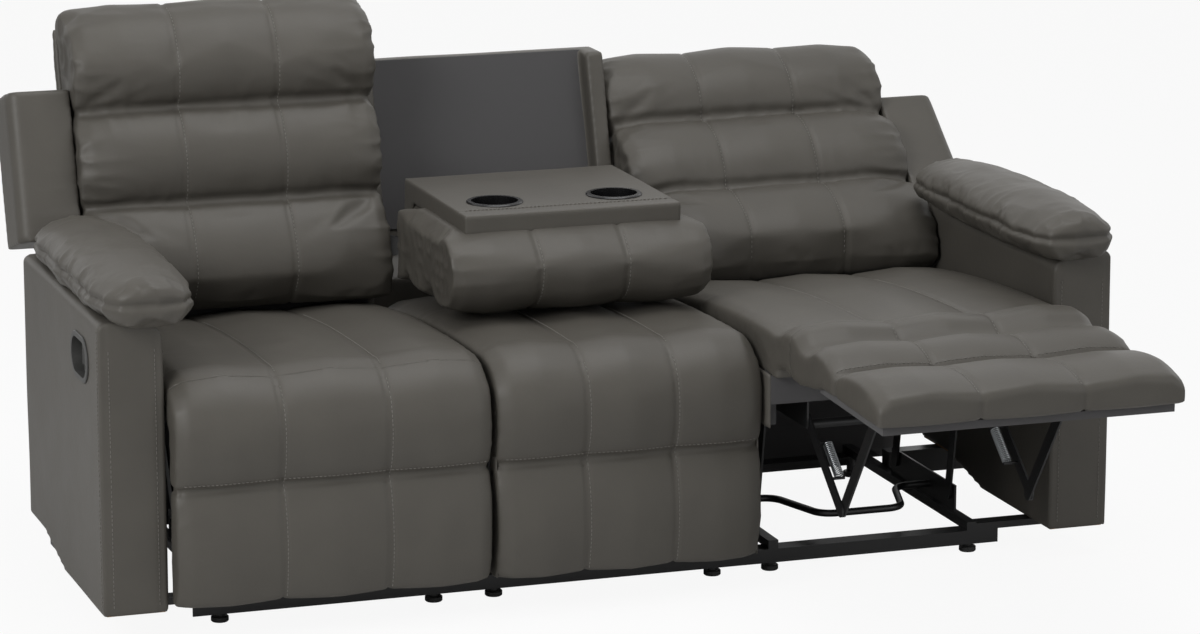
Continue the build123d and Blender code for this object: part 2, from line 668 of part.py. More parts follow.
def seat_plates():
    """Side plates under the seat: they carry the seat frame, the links and the back."""
    front = DRIVE_PIVOT[0] - LINK_RADIUS * 2.5
    rear = RECLINE_PIVOT[0] + LINK_RADIUS * 1.6
    foot = SEAT_RAIL_FOOT - SEAT_PLATE_HEIGHT
    plates = []
    for mechanism in MECHANISMS:
        x0, x1 = layer(mechanism, 2)
        plate = slab(x0, x1, (front, foot), (rear, foot), (rear, SEAT_RAIL_FOOT), (front, SEAT_RAIL_FOOT))
        for point, clearance in ((DRIVE_PIVOT, PIVOT_FIT), (FRONT_TOP, PIVOT_FIT), (REAR_TOP, OPEN_FIT),
                                 (RECLINE_PIVOT, PIVOT_FIT)):
            plate = drilled(plate, x0, x1, point, clearance)
        plates.append(plate)
    return plates


def swing_links(base, top):
    """Pair of links from the base plates up to the seat plates, with their pins."""
    links = []
    for mechanism in MECHANISMS:
        x0, x1 = layer(mechanism, 1)
        link = bar(x0, x1, base, top, LINK_RADIUS)
        inner = rod(*between(mechanism, 1, 2), top, PIVOT_RADIUS)
        links.append(link + pivot(mechanism, 0, 1, base) + inner)
    return links


def drive_links():
    """Pair of links on the seat plates with posts for the springs, and the torque tube between them."""
    tube_at = along(DRIVE_PIVOT, heading(DRIVE_PIVOT, ELBOW), DRIVE_LENGTH * TORQUE_PLACE)
    way = heading(ELBOW, DRIVE_PIVOT)
    seat = COIL_WIRE + REST_GAP + COIL_POST
    pieces = [rod(layer(MECHANISMS[0], 3)[1], layer(MECHANISMS[1], 3)[0], tube_at, TORQUE_TUBE)]
    for mechanism in MECHANISMS:
        x0, x1 = layer(mechanism, 3)
        link = drilled(bar(x0, x1, DRIVE_PIVOT, ELBOW, LINK_RADIUS), x0, x1, ELBOW, PIVOT_FIT)
        link = link + rod(*between(mechanism, 2, 3), DRIVE_PIVOT, PIVOT_RADIUS)
        for distance in (COIL_START - seat, COIL_START + COIL_TURNS * COIL_PITCH + seat):
            tip = mechanism[0] + mechanism[1] * (COIL_OFFSET + COIL_RADIUS + COIL_WIRE)
            ends = sorted((x0 if mechanism[1] > 0 else x1, tip))
            link = link + rod(*ends, along(ELBOW, way, distance), COIL_POST)
        pieces.append(link)
    return pieces


def lift_links():
    """Pair of links from the drive links to the brackets of the leg rest board."""
    links = []
    for mechanism in MECHANISMS:
        link = bar(*layer(mechanism, 4), ELBOW, LEG_PIVOT, LINK_RADIUS)
        links.append(link + rod(*between(mechanism, 3, 4), ELBOW, PIVOT_RADIUS))
    return links


def leg_brackets():
    """Lugs on the back of the leg rest board, beside the ends of the lift links."""
    face = LEG_HINGE[0] + LEG_THICKNESS + REST_GAP + LEG_BOARD
    lugs = []
    for mechanism in MECHANISMS:
        x0, x1 = layer(mechanism, 5)
        y, z = LEG_PIVOT
        lug = slab(x0, x1, (face, z - LINK_RADIUS * 2), (y, z - LINK_RADIUS), (y, z + LINK_RADIUS),
                   (face, z + LINK_RADIUS * 2)) + rod(x0, x1, LEG_PIVOT, LINK_RADIUS)
        flange_end = x1 + LINK_RADIUS * 2 if mechanism[1] > 0 else x0 - LINK_RADIUS * 2
        flange = block(*sorted((x0, flange_end)), face, face + PLATE / 2, z - LINK_RADIUS * 2, z + LINK_RADIUS * 2)
        lugs.append(lug + flange)
    return lugs


def leg_board():
    y = LEG_HINGE[0] + LEG_THICKNESS + REST_GAP
    top = LEG_HINGE[1] + LEG_THICKNESS * tan(radians(LEG_MITRE))
    return block(SEAT_LEFT + LEG_BOARD_MARGIN, SEAT_RIGHT - LEG_BOARD_MARGIN, y, y + LEG_BOARD,
                 LEG_BOTTOM + LEG_BOARD_MARGIN, top - LEG_BOARD_MARGIN)


def biarc(start, start_way, end, end_way):
    """Two arcs that leave one point and reach another in the given directions."""
    chord = end - start
    ways = start_way + end_way
    bend = 1 - start_way.dot(end_way)
    reach = (sqrt(chord.dot(ways) ** 2 + 2 * bend * chord.dot(chord)) - chord.dot(ways)) / (2 * bend)
    join = (start + end + (start_way - end_way) * reach) * 0.5
    first = TangentArc(start, join, tangent=start_way)
    return [first, TangentArc(end, join, tangent=end_way * -1)]


def coil_point(angle):
    return Vector(COIL_RADIUS * cos(angle), COIL_RADIUS * sin(angle), COIL_PITCH * angle / (2 * pi))


def coil_way(angle):
    return Vector(-COIL_RADIUS * sin(angle), COIL_RADIUS * cos(angle), COIL_PITCH / (2 * pi)).normalized()


def coil():
    """Helical spring along +Z from the origin, one unbroken wire."""
    quarter = pi / 2
    edges = []
    for i in range(4 * COIL_TURNS):
        a, b = i * quarter, (i + 1) * quarter
        edges += biarc(coil_point(a), coil_way(a), coil_point(b), coil_way(b))
    path = Wire(edges)
    section = Plane(coil_point(0), z_dir=coil_way(0)) * Circle(COIL_WIRE)
    return sweep(section, path=path)


def coil_gap():
    """Least gap between neighbouring turns, measured on points of the wire's centre line."""
    steps = 48
    points = [coil_point(2 * pi * i / steps) for i in range(2 * steps)]
    first = points[:1]
    far = points[steps // 2:]
    return min((a - b).length for a in first for b in far) - 2 * COIL_WIRE


def tension_springs():
    way = heading(ELBOW, DRIVE_PIVOT)
    start = along(ELBOW, way, COIL_START)
    spring = coil()
    springs = []
    for x, inwards in MECHANISMS:
        place = Plane((x + inwards * COIL_OFFSET, *start), x_dir=(1, 0, 0),
                      z_dir=(0, cos(radians(way)), sin(radians(way))))
        springs.append(spring.moved(place.location))
    return springs


def back_board():
    face = [back_point(BACK_FOAM + REST_GAP, BOARD_FOOT), back_point(BACK_FOAM + REST_GAP, BOARD_TOP)]
    rear = [back_point(BACK_FOAM + REST_GAP + BACK_BOARD, v) for v in (BOARD_TOP, BOARD_FOOT)]
    return slab(SEAT_LEFT + SEAT_SIDE_BOARD, SEAT_RIGHT - SEAT_SIDE_BOARD, *face, *rear)


def back_brackets():
    """Steel arms from the seat plates, round the seat's rear edge, to the foot of the back board."""
    board_front = back_point(BACK_FOAM + REST_GAP, BOARD_FOOT)
    board_rear = back_point(BACK_FOAM + REST_GAP + BACK_BOARD, BOARD_FOOT)
    y, z = RECLINE_PIVOT
    low = z - LINK_RADIUS
    high = z + LINK_RADIUS
    inner = SEAT_REAR + BRACKET_GAP
    foot = (inner, board_front[1] - (inner - board_front[0]) * tan(radians(BACK_LEAN)))
    brackets = []
    for mechanism in MECHANISMS:
        x0, x1 = layer(mechanism, 3)
        face = outline(x0, (y, high), ((y - LINK_RADIUS, z), (y, low)), ((board_rear[0] + LINK_RADIUS, low),),
                       (board_rear,), (foot,), ((inner, high),))
        arm = extrude(face, amount=x1 - x0, dir=(1, 0, 0))
        brackets.append(arm + rod(*between(mechanism, 2, 3), RECLINE_PIVOT, PIVOT_RADIUS))
    return brackets


def back_cover():
    """Upholstered rear panel with a wing beside the cushion, over the arm's rear end."""
    w0 = BACK_FOAM + BACK_BOARD + 2 * REST_GAP
    w1 = w0 + BACK_SKIN
    panel = slab(SEAT_LEFT, ARM_OUTER, back_point(w0, COVER_FOOT), back_point(w0, COVER_TOP),
                 back_point(w1, COVER_TOP), back_point(w1, COVER_FOOT))
    cut_left = ARM_INNER - SIDE_GAP / 2
    low = slab(cut_left, ARM_OUTER + 1, back_point(w0 - 1, COVER_FOOT - 1), back_point(w0 - 1, WING_FOOT),
               back_point(w1 + 1, WING_FOOT), back_point(w1 + 1, COVER_FOOT - 1))
    high = slab(cut_left, ARM_OUTER + 1, back_point(w0 - 1, WING_TOP), back_point(w0 - 1, COVER_TOP + 1),
                back_point(w1 + 1, COVER_TOP + 1), back_point(w1 + 1, WING_TOP))
    corners = [back_point(WING_FRONT, WING_FOOT), back_point(WING_FRONT, WING_TOP),
               back_point(w0, WING_TOP), back_point(w0, WING_FOOT)]
    wing = slab(cut_left, ARM_OUTER, *corners)
    outer = wing.edges().filter_by(lambda e: e.center().X > ARM_OUTER - 1)
    front = [e for e in outer if abs(e.center().Y - middle(corners[0], corners[1])[0]) < 1]
    wing = fillet(front, WING_ROUND)
    return panel - low - high + wing


# Centre seat and table
def centre_frame():
    """Box of boards under the centre seat, standing on the two centre side rails."""
    half = BAY_SPLIT - SIDE_GAP
    x1 = CENTRE_LEG + SIDE_RAIL_WIDTH / 2
    front = LEG_HINGE[0] + LEG_THICKNESS + REST_GAP
    rear = SEAT_RAIL_REAR
    boards = [block(-half, half, SEAT_RAIL_FRONT, SEAT_RAIL_FRONT + SEAT_RAIL_DEPTH, SEAT_RAIL_FOOT, SEAT_BOTTOM),
              block(-half, half, rear - SEAT_RAIL_DEPTH, rear, SEAT_RAIL_FOOT, SEAT_BOTTOM)]
    for side in (-1, 1):
        ends = sorted((side * x1, side * (x1 - SEAT_SIDE_BOARD)))
        boards.append(block(*ends, SEAT_RAIL_FRONT, rear, SIDE_TOP, SEAT_RAIL_FOOT))
        boards.append(block(*ends, front + LEG_BOARD, SEAT_RAIL_FRONT, LEG_BOTTOM + LEG_BOARD_MARGIN, SEAT_RAIL_FOOT))
    top = LEG_HINGE[1] + LEG_THICKNESS * tan(radians(LEG_MITRE)) - LEG_BOARD_MARGIN
    boards.append(block(-half, half, front, front + LEG_BOARD, LEG_BOTTOM + LEG_BOARD_MARGIN, top))
    return boards


def centre_shell():
    """Upholstered back of the centre bay: a leaning panel on a straight leg, with a cheek at each side."""
    half = BAY_SPLIT - SIDE_GAP / 2
    knee = SHELL_FACE[1]
    leg_front = SHELL_FACE[0] - SHELL_LEG
    panel = slab(-half, half, (leg_front, SIDE_TOP), (leg_front + SHELL_LEG, SIDE_TOP),
                 (SHELL_FACE[0] + SHELL_THICKNESS, knee), shell_point(SHELL_THICKNESS, SHELL_TOP),
                 shell_point(0, SHELL_TOP), SHELL_FACE, (leg_front, knee - SHELL_LEG))
    for side in (-1, 1):
        ends = sorted((side * half, side * (half - CHEEK_WIDTH)))
        panel = panel + slab(*ends, shell_point(0, CHEEK_FOOT), shell_point(0, SHELL_TOP),
                             shell_point(-CHEEK_DEPTH, SHELL_TOP), shell_point(-CHEEK_DEPTH, CHEEK_FOOT))
    return panel


def centre_lining():
    half = BAY_SPLIT - SIDE_GAP / 2 - CHEEK_WIDTH - REST_GAP
    return slab(-half, half, shell_point(-REST_GAP, CHEEK_FOOT), shell_point(-REST_GAP, SHELL_TOP),
                shell_point(-REST_GAP - LINING, SHELL_TOP), shell_point(-REST_GAP - LINING, CHEEK_FOOT))


def table_board():
    """Tray of the folded back, with holes for the cups and a hinge arm at each side."""
    tray = block(-TRAY_HALF, TRAY_HALF, TRAY_FRONT, TRAY_REAR, TRAY_TOP - TRAY_THICKNESS, TRAY_TOP)
    for side in (-1, 1):
        hole = Solid.make_cylinder(CUP_RADIUS + CUP_WALL + REST_GAP, TRAY_THICKNESS,
                                   Plane((side * CUP_X, CUP_Y, TRAY_TOP - TRAY_THICKNESS)))
        tray = tray - hole
        x0, x1 = sorted((side * TRAY_HALF, side * (TRAY_HALF - HINGE_PLATE)))
        y, z = TABLE_HINGE
        radius = HINGE_PIN * 2.5
        arm = slab(x0, x1, (y - radius, z), (y + radius, z), (TRAY_REAR, TRAY_TOP - TRAY_THICKNESS),
                   (TRAY_REAR - radius * 4, TRAY_TOP - TRAY_THICKNESS)) + rod(x0, x1, TABLE_HINGE, radius)
        tray = tray + arm - rod(x0 - 1, x1 + 1, TABLE_HINGE, HINGE_PIN + PIVOT_FIT)
    return tray


def table_cushion():
    half = BAY_SPLIT - SIDE_GAP
    cushion = padded(-half, half, table_section)
    depth = CUP_DEPTH - TRAY_THICKNESS + CUP_WALL + 2 * REST_GAP
    y, z = TABLE_HINGE
    for side in (-1, 1):
        pocket = Solid.make_cylinder(CUP_RADIUS + CUP_WALL + REST_GAP, depth,
                                     Plane((side * CUP_X, CUP_Y, TRAY_TOP - TRAY_THICKNESS - depth)))
        x0, x1 = sorted((side * (BAY_SPLIT + 1), side * (TRAY_HALF - HINGE_PLATE - HINGE_GAP)))
        notch = block(x0, x1, y - HINGE_PIN * 14, TRAY_REAR + 1, TABLE_FOOT - 1, TRAY_TOP)
        cushion = cushion - pocket - notch
    return cushion


def cup_holders():
    """Round cups hung in the tray by their rims."""
    cups = []
    for side in (-1, 1):
        foot = Plane((side * CUP_X, CUP_Y, TRAY_TOP - CUP_DEPTH))
        wall = Solid.make_cylinder(CUP_RADIUS + CUP_WALL, CUP_DEPTH, foot)
        rim_plane = Plane((side * CUP_X, CUP_Y, TRAY_TOP))
        rim = Solid.make_cylinder(CUP_RADIUS + CUP_WALL + CUP_RIM, CUP_RIM_HEIGHT, rim_plane)
        rim = chamfer(rim.edges().group_by(Axis.Z)[-1], CUP_RIM_HEIGHT * 0.6)
        hollow = Solid.make_cylinder(CUP_RADIUS, CUP_DEPTH * 2, Plane((side * CUP_X, CUP_Y,
                                                                       TRAY_TOP - CUP_DEPTH + CUP_WALL)))
        cups.append(wall + rim - hollow)
    return cups


def table_brackets():
    """Plates on the cheeks of the shell that carry the table's hinge pins."""
    y, z = TABLE_HINGE
    radius = HINGE_PIN * 2.5
    plates = []
    for side in (-1, 1):
        inner = side * (TRAY_HALF + HINGE_GAP)
        x0, x1 = sorted((inner, inner + side * HINGE_PLATE))
        plate = slab(x0, x1, (y, z - radius), SHELL_FACE, shell_point(0, CHEEK_FOOT - 2 * LINING),
                     (y, z + radius))
        plate = plate + rod(x0, x1, TABLE_HINGE, radius)
        pin = sorted((inner, inner - side * (HINGE_PLATE + 2 * HINGE_GAP)))
        plates.append(plate + rod(*pin, TABLE_HINGE, HINGE_PIN))
    return plates


# Bodies and their nodes
BODIES = {"frame": {}, "table": {}}


def add(body, name, solids):
    BODIES.setdefault(body, {})[name] = group(solids if isinstance(solids, list) else [solids])


def mirrored(shape):
    return shape.mirror(Plane.YZ)


def fixed_parts():
    arm = {"cover": arm_cover(), "pad": arm_pad(), "frame": group(arm_frame()), "bezel": handle_bezel()}
    add("frame", "front_base_rail", base_rail(FRONT_RAIL_Y, False))
    add("frame", "rear_base_rail", base_rail(REAR_RAIL_Y, True))
    add("frame", "base_side_rails", base_side_rails())
    add("frame", "glide_feet", glide_feet())
    add("frame", "arm_outriggers", outriggers())
    add("frame", "swing_base_plates", base_plates())
    add("frame", "stretcher_tubes", stretchers())
    add("frame", "arm_frames", [arm["frame"], mirrored(arm["frame"])])
    add("frame", "arm_cover_right", arm["cover"])
    add("frame", "arm_cover_left", mirrored(arm["cover"]))
    add("frame", "arm_pad_right", arm["pad"])
    add("frame", "arm_pad_left", mirrored(arm["pad"]))
    add("frame", "handle_bezels", [arm["bezel"], mirrored(arm["bezel"])])
    half = BAY_SPLIT - SIDE_GAP
    add("frame", "centre_seat_frame", centre_frame())
    add("frame", "centre_seat_springs", sinuous_springs(-half, half, SEAT_RAIL_FRONT, SEAT_RAIL_REAR))
    add("frame", "centre_seat_cushion", padded(-half, half, centre_seat_section))
    add("frame", "centre_front_pad", padded(-half, half, leg_section))
    add("frame", "centre_back_shell", centre_shell())
    add("frame", "centre_back_lining", centre_lining())
    add("frame", "table_hinge_brackets", table_brackets())
    add("table", "table_board", table_board())
    add("table", "table_cushion", table_cushion())
    add("table", "cup_holders", cup_holders())


def recliner_parts():
    left = SEAT_LEFT
    right = SEAT_RIGHT
    return {
        "front_swing": {"front_swing_links": swing_links(SWING_FRONT, FRONT_TOP)},
        "rear_swing": {"rear_swing_links": swing_links(SWING_REAR, REAR_TOP)},
        "seat": {"seat_plates": seat_plates(),
                 "seat_frame": seat_frame(left, right, SEAT_RAIL_FRONT, SEAT_RAIL_REAR),
                 "seat_springs": sinuous_springs(left, right, SEAT_RAIL_FRONT, SEAT_RAIL_REAR),
                 "seat_cushion": [padded(left, right, seat_section)]},
        "back": {"back_board": [back_board()], "back_brackets": back_brackets(),
                 "back_cushion": [padded(left, right, back_section)], "back_cover": [back_cover()]},
        "crown": {"crown_pad": [padded(left, right, crown_section)]},
        "legrest": {"legrest_pad": [padded(left, right, leg_section)], "legrest_board": [leg_board()],
                    "legrest_brackets": leg_brackets()},
        "drive": {"drive_links": drive_links(), "tension_springs": tension_springs()},
        "lift": {"lift_links": lift_links()},
        "lever": {"release_lever": [release_lever()]},
    }


fixed_parts()
for body, nodes in recliner_parts().items():
    for name, solids in nodes.items():
        shape = group(solids)
        add("left_" + body, "left_" + name, mirrored(shape))
        add("right_" + body, "right_" + name, opened(shape, body))

# The origin goes to the middle of the sofa's footprint, on the floor
BOX = Compound([shape for nodes in BODIES.values() for shape in nodes.values()]).bounding_box()
SHIFT = (BOX.min.Y + BOX.max.Y) / 2

if __name__ == "__main__":
    os.makedirs("parts", exist_ok=True)
    for nodes in BODIES.values():
        for name, shape in nodes.items():
            export_step(shape.moved(Location((0, -SHIFT, 0))), "parts/" + name + ".step")
    print("box", BOX.size, "shift", round(SHIFT, 2), "nodes", sum(len(nodes) for nodes in BODIES.values()))
    print("least gap in the tension springs", round(coil_gap(), 3))
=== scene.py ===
import bmesh
import bpy
import itertools
import json
import math
import numpy as np
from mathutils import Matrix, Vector
from mathutils.bvhtree import BVHTree


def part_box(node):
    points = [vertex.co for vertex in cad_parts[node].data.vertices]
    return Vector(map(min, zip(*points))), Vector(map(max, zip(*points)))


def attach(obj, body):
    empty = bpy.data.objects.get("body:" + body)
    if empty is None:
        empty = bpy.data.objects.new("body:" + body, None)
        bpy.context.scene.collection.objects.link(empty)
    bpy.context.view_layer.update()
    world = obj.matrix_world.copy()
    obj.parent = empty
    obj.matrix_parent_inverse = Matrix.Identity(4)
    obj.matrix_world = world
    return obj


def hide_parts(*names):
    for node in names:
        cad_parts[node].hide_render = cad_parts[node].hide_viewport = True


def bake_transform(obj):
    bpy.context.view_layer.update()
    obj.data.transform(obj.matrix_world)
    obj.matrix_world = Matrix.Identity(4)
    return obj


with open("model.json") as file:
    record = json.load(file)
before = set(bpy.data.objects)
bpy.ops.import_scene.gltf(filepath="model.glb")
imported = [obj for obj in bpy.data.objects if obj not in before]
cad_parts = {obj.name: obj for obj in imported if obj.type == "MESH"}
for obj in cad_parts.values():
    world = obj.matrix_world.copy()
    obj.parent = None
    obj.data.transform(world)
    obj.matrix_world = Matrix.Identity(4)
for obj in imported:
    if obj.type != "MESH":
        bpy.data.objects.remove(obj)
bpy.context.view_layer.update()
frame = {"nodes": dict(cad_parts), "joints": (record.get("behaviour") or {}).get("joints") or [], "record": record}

# Places read from the imported model, and given places of the seams, roll creases and back, in metres
HINGES = {joint["name"]: joint for joint in frame["joints"]}
ARM_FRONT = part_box("arm_cover_left")[0].y
SEAT_X = (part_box("left_seat_cushion")[0].x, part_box("left_seat_cushion")[1].x)
CENTRE_X = (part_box("centre_seat_cushion")[0].x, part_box("centre_seat_cushion")[1].x)
SEAT_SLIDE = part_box("right_seat_plates")[0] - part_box("left_seat_plates")[0]
LEG_SEAM_Z = 0.288
PAD_SEAM_Z = 0.640
ROLL_CREASES = (0.205, 0.390)
BACK_FOOT = (ARM_FRONT + 0.600, 0.480)
BACK_LEAN = math.radians(18.0)

# Sizes of the sewing
STITCH_LENGTH = 0.0055
STITCH_PITCH = 0.0080
THREAD_RADIUS = 0.0007
SEAM_SIDE = 0.0050
SEAM_WIDTH = 0.0045
SEAM_DEEP = 0.0035


def hinge_point(name):
    return np.array(HINGES[name]["pos_m"])


def open_turn(name):
    """Turn in degrees that takes a closed left joint to its open end."""
    return max(HINGES[name]["range_deg"], key=abs)


# Mesh tools
def new_object(name, mesh):
    piece = bpy.data.objects.new(name, mesh)
    bpy.context.scene.collection.objects.link(piece)
    return piece


def evaluated_mesh(piece):
    graph = bpy.context.evaluated_depsgraph_get()
    return bpy.data.meshes.new_from_object(piece.evaluated_get(graph))


def remeshed(nodes, voxel, smoothing):
    """Points and faces of one even skin round the named solids, with rounded edges."""
    points, faces = [], []
    for node in nodes:
        mesh = frame["nodes"][node].data
        start = len(points)
        points += [tuple(v.co) for v in mesh.vertices]
        faces += [[start + i for i in p.vertices] for p in mesh.polygons]
    mesh = bpy.data.meshes.new("skin")
    mesh.from_pydata(points, [], faces)
    piece = new_object("skin", mesh)
    grid = piece.modifiers.new("even", "REMESH")
    grid.mode = "VOXEL"
    grid.voxel_size = voxel
    soften = piece.modifiers.new("soften", "SMOOTH")
    soften.factor = 0.5
    soften.iterations = smoothing
    made = evaluated_mesh(piece)
    bpy.data.objects.remove(piece)
    return made


def coordinates(mesh):
    flat = np.zeros(len(mesh.vertices) * 3, np.float32)
    mesh.vertices.foreach_get("co", flat)
    return flat.reshape(-1, 3).astype(float)


def set_coordinates(mesh, points):
    mesh.vertices.foreach_set("co", points.astype(np.float32).ravel())
    mesh.update()


def normals(mesh):
    flat = np.zeros(len(mesh.vertices) * 3, np.float32)
    mesh.vertex_normals.foreach_get("vector", flat)
    return flat.reshape(-1, 3).astype(float)


def cloud(points, size, seed):
    """Smooth random field from -1 to 1 with lumps of the given size along each axis."""
    place = points / np.array(size)
    cell = np.floor(place).astype(np.int64)
    part = place - cell
    part = part * part * (3 - 2 * part)
    total = np.zeros(len(points))
    for corner in itertools.product((0, 1), repeat=3):
        key = (cell + corner) @ np.array((73856093, 19349663, 83492791)) + seed * 1013904223
        key = ((key ^ (key >> 13)) * 1274126177) & 0x7FFFFFFF
        value = ((key ^ (key >> 11)) & 65535) / 32767.5 - 1
        total += value * np.prod(np.where(corner, part, 1 - part), axis=1)
    return total


def folds(points, size, seed):
    """Rounded ridges with narrow valleys, from -1 to 1."""
    return 1 - 2 * np.abs(cloud(points, size, seed)) ** 0.6


def inflate(mesh, pressure, cap, loose):
    """Blows the skin up as sewn leather over wadding, no point moving further than the cap."""
    piece = new_object("pillow", mesh)
    start = coordinates(mesh)
    cloth = piece.modifiers.new("cloth", "CLOTH")
    cloth.settings.quality = 4
    cloth.settings.mass = 0.4
    cloth.settings.tension_stiffness = 25
    cloth.settings.compression_stiffness = 12
    cloth.settings.bending_stiffness = 1.5
    cloth.settings.use_pressure = True
    cloth.settings.uniform_pressure_force = pressure
    cloth.settings.shrink_min = -loose
    cloth.settings.effector_weights.gravity = 0
    cloth.collision_settings.use_collision = False
    scene = bpy.context.scene
    for step in range(1, 21):
        scene.frame_set(step)
    swollen = coordinates(evaluated_mesh(piece))
    scene.frame_set(1)
    bpy.data.objects.remove(piece)
    move = swollen - start
    length = np.maximum(np.linalg.norm(move, axis=1, keepdims=True), 1e-9)
    grown = start + move * np.minimum(1, cap / length)
    grown[:, 0] = np.clip(grown[:, 0], start[:, 0].min(), start[:, 0].max())
    set_coordinates(mesh, grown)


def soften_mesh(mesh, rounds):
    piece = new_object("rub", mesh)
    soften = piece.modifiers.new("soften", "SMOOTH")
    soften.factor = 0.5
    soften.iterations = rounds
    points = coordinates(evaluated_mesh(piece))
    bpy.data.objects.remove(piece)
    set_coordinates(mesh, points)


def press(mesh, distance, depth, width):
    """Draws the skin in along a seam, where distance is how far each point lies from it."""
    points = coordinates(mesh)
    pull = depth * np.exp(-(distance(points) / width) ** 2)
    set_coordinates(mesh, points - normals(mesh) * pull[:, None])


def lift(mesh, height):
    points = coordinates(mesh)
    set_coordinates(mesh, points + normals(mesh) * height(points)[:, None])


def thirds(span):
    return (span[0] + (span[1] - span[0]) / 3, span[1] - (span[1] - span[0]) / 3)


def finished(mesh, name, body, nodes, material):
    """Puts a finished skin in the scene, on its body and in place of its solids."""
    mesh.name = name
    piece = new_object(name, mesh)
    mesh.materials.clear()
    mesh.materials.append(material)
    mesh.shade_smooth()
    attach(piece, body)
    if nodes:
        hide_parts(*nodes)
    return piece


# Turned copies for the open right seat
def mirrored(points):
    return points * np.array((-1.0, 1.0, 1.0))


def turn(points, pivot, degrees, share=1.0):
    """Turns points about an X axis through the pivot, by a share of the angle for each point."""
    angle = np.radians(degrees) * share
    y = points[:, 1] - pivot[1]
    z = points[:, 2] - pivot[2]
    out = points.copy()
    out[:, 1] = pivot[1] + y * np.cos(angle) - z * np.sin(angle)
    out[:, 2] = pivot[2] + y * np.sin(angle) + z * np.cos(angle)
    return out


def slide(points):
    return points + np.array((0.0, SEAT_SLIDE.y, SEAT_SLIDE.z))


def smooth_share(points, start, end):
    way = end - start
    t = np.clip(((points - start) @ way) / (way @ way), 0, 1)
    return t * t * (3 - 2 * t)


def copied(mesh, move, flip):
    """Copy of a mesh with its points moved; a mirrored copy has its faces turned round."""
    made = mesh.copy()
    set_coordinates(made, move(coordinates(mesh)))
    if flip:
        made.flip_normals()
    return made


# Materials
def linear(code):
    """Linear colour from an sRGB hex value."""
    parts = [int(code[i:i + 2], 16) / 255 for i in (1, 3, 5)]
    return [p / 12.92 if p <= 0.04045 else ((p + 0.055) / 1.055) ** 2.4 for p in parts] + [1.0]


def add_node(tree, kind, settings=None, values=None, links=None):
    """Adds a node, sets its properties and input values, and links its inputs."""
    node = tree.nodes.new(kind)
    for key, value in (settings or {}).items():
        setattr(node, key, value)
    for key, value in (values or {}).items():
        node.inputs[key].default_value = value
    for key, source in (links or {}).items():
        tree.links.new(source, node.inputs[key])
    return node


def new_material(name, values):
    material = bpy.data.materials.new(name)
    material.use_nodes = True
    shader = material.node_tree.nodes["Principled BSDF"]
    for key, value in values.items():
        shader.inputs[key].default_value = value
    place = add_node(material.node_tree, "ShaderNodeTexCoord").outputs["Object"]
    return material, material.node_tree, shader, place


def two_tones(tree, shader, factor, dark, light):
    mix = add_node(tree, "ShaderNodeMix", {"data_type": "RGBA"}, {6: linear(dark), 7: linear(light)}, {0: factor})
    tree.links.new(mix.outputs[2], shader.inputs["Base Color"])


def set_range(tree, shader, socket, factor, low, high):
    band = add_node(tree, "ShaderNodeMapRange", values={"To Min": low, "To Max": high}, links={"Value": factor})
    tree.links.new(band.outputs["Result"], shader.inputs[socket])


def leather(name, dark, light):
    """Coated split leather, embossed with a pebble grain: soft broad gloss and slow changes of tone.
    The real pebbles are about 1 mm; they are drawn at 2.2 mm so that they show."""
    values = {"Roughness": 0.46, "IOR": 1.48, "Specular IOR Level": 0.34}
    material, tree, shader, place = new_material(name, values)
    tone = add_node(tree, "ShaderNodeTexNoise", values={"Scale": 1 / 0.09, "Detail": 5.0}, links={"Vector": place})
    two_tones(tree, shader, tone.outputs["Fac"], dark, light)
    set_range(tree, shader, "Roughness", tone.outputs["Fac"], 0.40, 0.54)
    pebble = add_node(tree, "ShaderNodeTexVoronoi", {"feature": "SMOOTH_F1"}, {"Scale": 1 / 0.0022},
                      {"Vector": place})
    crease = add_node(tree, "ShaderNodeTexNoise", values={"Scale": 1 / 0.012, "Detail": 6.0, "Distortion": 0.6},
                      links={"Vector": place})
    grain = add_node(tree, "ShaderNodeBump", values={"Strength": 0.16, "Distance": 0.0004},
                     links={"Height": pebble.outputs["Distance"]})
    fine = add_node(tree, "ShaderNodeBump", values={"Strength": 0.22, "Distance": 0.0012},
                    links={"Height": crease.outputs["Fac"], "Normal": grain.outputs["Normal"]})
    tree.links.new(fine.outputs["Normal"], shader.inputs["Normal"])
    return material


def grained(name, values, dark, light, size, strength, depth, rough):
    """Hard finish with fine specks of tone, roughness and height at the given grain size."""
    material, tree, shader, place = new_material(name, values)
    speck = add_node(tree, "ShaderNodeTexNoise", values={"Scale": 1 / size, "Detail": 4.0},
                     links={"Vector": place})
    two_tones(tree, shader, speck.outputs["Fac"], dark, light)
    set_range(tree, shader, "Roughness", speck.outputs["Fac"], *rough)
    bump = add_node(tree, "ShaderNodeBump", values={"Strength": strength, "Distance": depth},
                    links={"Height": speck.outputs["Fac"]})
    tree.links.new(bump.outputs["Normal"], shader.inputs["Normal"])
    return material


def woven(name, dark, light):
    """Plain woven lining cloth: two thread waves at a spacing drawn at 2 mm so that they show."""
    material, tree, shader, place = new_material(name, {"Roughness": 0.85, "Sheen Weight": 0.2})
    heights = []
    for axis in ("X", "Z"):
        wave = add_node(tree, "ShaderNodeTexWave", {"bands_direction": axis}, {"Scale": 0.314 / 0.002},
                        {"Vector": place})
        heights.append(wave.outputs["Fac"])
    weave = add_node(tree, "ShaderNodeMath", {"operation": "MAXIMUM"})
    tree.links.new(heights[0], weave.inputs[0])
    tree.links.new(heights[1], weave.inputs[1])
    two_tones(tree, shader, weave.outputs["Value"], dark, light)
    bump = add_node(tree, "ShaderNodeBump", values={"Strength": 0.3, "Distance": 0.0004},
                    links={"Height": weave.outputs["Value"]})
    tree.links.new(bump.outputs["Normal"], shader.inputs["Normal"])
    return material


